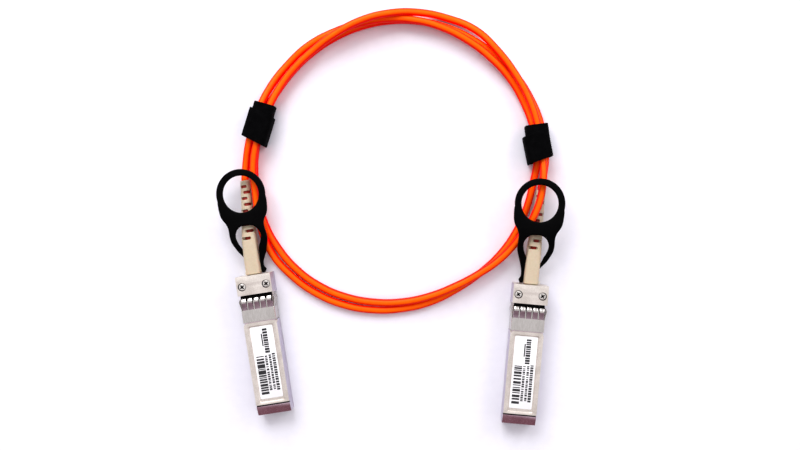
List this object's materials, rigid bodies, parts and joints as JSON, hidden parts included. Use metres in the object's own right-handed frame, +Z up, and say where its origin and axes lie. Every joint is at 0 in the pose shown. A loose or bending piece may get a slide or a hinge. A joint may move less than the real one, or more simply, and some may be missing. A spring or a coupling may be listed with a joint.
{
  "type": "optical transceiver cable",
  "caption": "Pluggable optical transceiver modules with pull-tab latches, joined by one coiled fibre cable that strap ties hold in a loop.",
  "frame": {"origin": "on the table, under the middle of the two modules with their boots and pull tabs", "axes": "+Z up from the table, +Y from the modules' tails towards their pull tabs and the cable's loop, +X from module a to module b"},
  "size_m": [0.1398, 0.1688, 0.0122],
  "materials": {
    "die_cast": "nickel-plated zinc casting, fine sand texture",
    "spring_sheet": "bright plated spring sheet",
    "steel": "satin plated steel",
    "label": "printed film, semi-gloss",
    "board": "green solder mask, gold contacts",
    "chip": "moulded chip package",
    "lens": "clear amber moulding",
    "fibre": "coated fibre ribbon",
    "pad": "soft gap filler",
    "boot": "matte moulding",
    "tab": "satin moulding",
    "cable": "smooth satin jacket",
    "tie": "hook-and-loop tape"
  },
  "bodies": {
    "root": {"lower_housing_a": "die_cast", "upper_cover_a": "die_cast", "screw_left_a": "steel", "screw_right_a": "steel", "emi_collar_a": "spring_sheet", "label_a": "label", "circuit_board_a": "board", "controller_chip_a": "chip", "driver_chip_a": "chip", "thermal_pad_a": "pad", "lens_block_a": "lens", "fibre_ribbon_a": "fibre", "crimp_ring_a": "steel", "pivot_pin_a": "steel", "leaf_spring_a": "spring_sheet", "boot_a": "boot", "lower_housing_b": "die_cast", "upper_cover_b": "die_cast", "screw_left_b": "steel", "screw_right_b": "steel", "emi_collar_b": "spring_sheet", "label_b": "label", "circuit_board_b": "board", "controller_chip_b": "chip", "driver_chip_b": "chip", "thermal_pad_b": "pad", "lens_block_b": "lens", "fibre_ribbon_b": "fibre", "crimp_ring_b": "steel", "pivot_pin_b": "steel", "leaf_spring_b": "spring_sheet", "boot_b": "boot", "cable": "cable", "tie_left": "tie", "tie_right": "tie"},
    "tab_a": {"pull_tab_a": "tab", "latch_slider_a": "steel"},
    "latch_a": {"latch_rocker_a": "steel"},
    "tab_b": {"pull_tab_b": "tab", "latch_slider_b": "steel"},
    "latch_b": {"latch_rocker_b": "steel"}
  },
  "joints": [
    {"name": "tab_a_slide", "type": "slide", "parent": "root", "child": "tab_a", "axis": [-0.153, 0.9881, 0.0186], "range_m": [0, 0.002], "stiffness_N_per_m": 300, "springref_m": -0.001},
    {"name": "latch_a_rock", "type": "hinge", "parent": "root", "child": "latch_a", "pos_m": [-0.0538, 0.00245, 0.00092], "axis": [-0.9882, -0.153, 0], "range_deg": [0, 8]},
    {"name": "tab_b_slide", "type": "slide", "parent": "root", "child": "tab_b", "axis": [0.0889, 0.9959, 0.0186], "range_m": [0, 0.002], "stiffness_N_per_m": 300, "springref_m": -0.001},
    {"name": "latch_b_rock", "type": "hinge", "parent": "root", "child": "latch_b", "pos_m": [0.05637, -0.0016, 0.00092], "axis": [-0.996, 0.0889, 0], "range_deg": [0, 8]}
  ],
  "couplings": [
    {"joint": "latch_a_rock", "follows": "tab_a_slide", "rad_per_m": 69.8},
    {"joint": "latch_b_rock", "follows": "tab_b_slide", "rad_per_m": 69.8}
  ]
}
